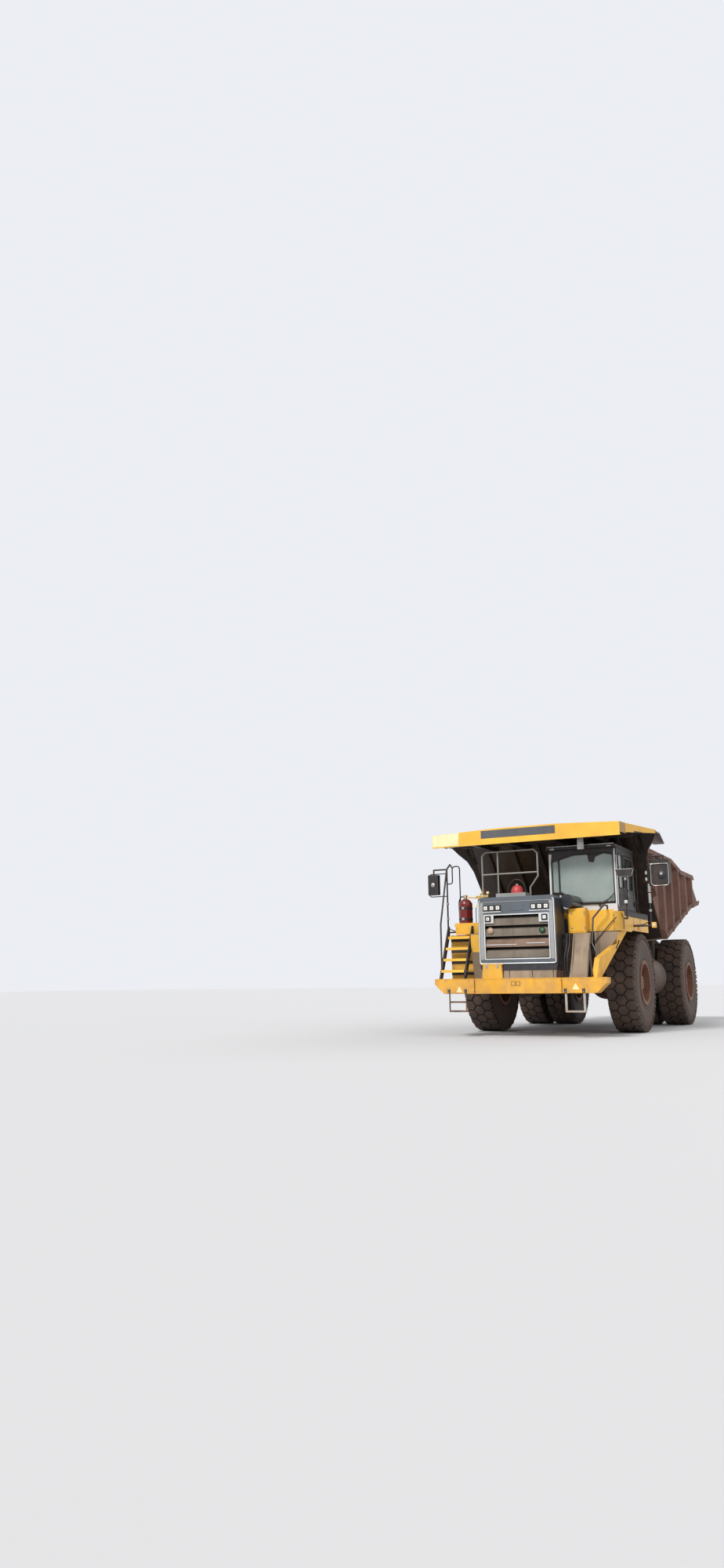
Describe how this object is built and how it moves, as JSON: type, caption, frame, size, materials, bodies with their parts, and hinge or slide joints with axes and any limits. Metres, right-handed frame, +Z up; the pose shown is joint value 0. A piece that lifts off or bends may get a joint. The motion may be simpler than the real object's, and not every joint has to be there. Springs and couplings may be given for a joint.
{
  "type": "rigid quarry dump truck",
  "caption": "Rigid mining dump truck with a ribbed tipping body and canopy, left-hand cab, louvred grille, twin rear wheels and steered front wheels.",
  "frame": {"origin": "centre of the whole box, on the ground under the tyres", "axes": "the truck's front faces -Y, its left side is +X, +Z is up"},
  "size_m": [5.7, 9.77, 4.49],
  "materials": {
    "yellow_paint": "dusty gloss",
    "dusty_steel": "dry dust over worn paint",
    "charcoal_paint": "satin",
    "black_paint": "satin",
    "silver_paint": "satin",
    "chassis_steel": "greasy and dusty",
    "chrome_rod": "polished",
    "tyre_rubber": "dusty",
    "rim_paint": "dusty red brown",
    "clear_glass": "tinted",
    "seat_fabric": "woven",
    "console_plastic": "grained",
    "red_paint": "gloss",
    "lamp_glass": "clear lens"
  },
  "bodies": {
    "chassis": {"frame": "yellow_paint", "bumper": "yellow_paint", "step_hangers": "dusty_steel", "front_guard": "dusty_steel", "strut_housings": "chassis_steel", "rear_axle": "chassis_steel", "rear_struts": "chassis_steel", "engine": "chassis_steel", "transmission": "chassis_steel", "driveshaft": "chassis_steel", "radiator": "charcoal_paint", "grille_housing": "charcoal_paint", "grille_louvres": "dusty_steel", "grille_surround": "silver_paint", "grille_lamps": "lamp_glass", "hood": "charcoal_paint", "air_cleaners": "black_paint", "deck_left": "yellow_paint", "deck_right": "yellow_paint", "stairs": "yellow_paint", "handrails": "black_paint", "cab_shell": "black_paint", "cab_roof": "black_paint", "cab_glass": "clear_glass", "cab_seat": "seat_fabric", "cab_console": "console_plastic", "equipment_boxes": "yellow_paint", "suppressant_bottle": "red_paint", "mirrors": "black_paint", "tanks": "yellow_paint"},
    "knuckle_left": {"knuckle_left": "chassis_steel"},
    "knuckle_right": {"knuckle_right": "chassis_steel"},
    "tie_rod": {"tie_rod": "chassis_steel"},
    "wheel_front_left": {"tyre_front_left": "tyre_rubber", "rim_front_left": "rim_paint"},
    "wheel_front_right": {"tyre_front_right": "tyre_rubber", "rim_front_right": "rim_paint"},
    "wheels_rear_left": {"tyres_rear_left": "tyre_rubber", "rims_rear_left": "rim_paint"},
    "wheels_rear_right": {"tyres_rear_right": "tyre_rubber", "rims_rear_right": "rim_paint"},
    "cab_door": {"cab_door": "black_paint", "door_glass": "clear_glass"},
    "bed": {"bed_floor": "dusty_steel", "bed_sides": "dusty_steel", "bed_front": "yellow_paint", "bed_beams": "dusty_steel", "rock_ejectors": "chassis_steel"},
    "hoist_barrels": {"hoist_barrels": "chassis_steel"},
    "hoist_rods": {"hoist_rods": "chrome_rod"}
  },
  "joints": [
    {"name": "steer_left", "type": "hinge", "parent": "chassis", "child": "knuckle_left", "pos_m": [1.15, -1.915, 1.085], "axis": [0, 0, 1], "range_deg": [-31, 31]},
    {"name": "steer_right", "type": "hinge", "parent": "chassis", "child": "knuckle_right", "pos_m": [-1.15, -1.915, 1.085], "axis": [0, 0, 1], "range_deg": [-31, 31]},
    {"name": "tie_rod_slide", "type": "slide", "parent": "chassis", "child": "tie_rod", "axis": [1, 0, 0], "range_m": [-0.2, 0.2]},
    {"name": "spin_front_left", "type": "hinge", "parent": "knuckle_left", "child": "wheel_front_left", "pos_m": [1.66, -1.915, 1.085], "axis": [1, 0, 0], "continuous": true},
    {"name": "spin_front_right", "type": "hinge", "parent": "knuckle_right", "child": "wheel_front_right", "pos_m": [-1.66, -1.915, 1.085], "axis": [1, 0, 0], "continuous": true},
    {"name": "spin_rear_left", "type": "hinge", "parent": "chassis", "child": "wheels_rear_left", "pos_m": [1.465, 2.285, 1.085], "axis": [1, 0, 0], "continuous": true},
    {"name": "spin_rear_right", "type": "hinge", "parent": "chassis", "child": "wheels_rear_right", "pos_m": [-1.465, 2.285, 1.085], "axis": [1, 0, 0], "continuous": true},
    {"name": "bed_tilt", "type": "hinge", "parent": "chassis", "child": "bed", "pos_m": [0, 3.065, 1.62], "axis": [-1, 0, 0], "range_deg": [0, 57]},
    {"name": "hoist_swing", "type": "hinge", "parent": "chassis", "child": "hoist_barrels", "pos_m": [0, 1.785, 0.85], "axis": [-1, 0, 0], "range_deg": [0, 28.5]},
    {"name": "hoist_extend", "type": "slide", "parent": "hoist_barrels", "child": "hoist_rods", "axis": [0, 0, 1], "range_m": [0, 1.05]},
    {"name": "door_swing", "type": "hinge", "parent": "chassis", "child": "cab_door", "pos_m": [1.9, -2.135, 3.25], "axis": [0, 0, 1], "range_deg": [0, 90]}
  ],
  "couplings": [
    {"joint": "steer_right", "follows": "steer_left", "ratio": 1},
    {"joint": "tie_rod_slide", "follows": "steer_left", "m_per_rad": -0.35},
    {"joint": "hoist_swing", "follows": "bed_tilt", "ratio": 0.4847},
    {"joint": "hoist_extend", "follows": "bed_tilt", "m_per_rad": 1.0503}
  ]
}
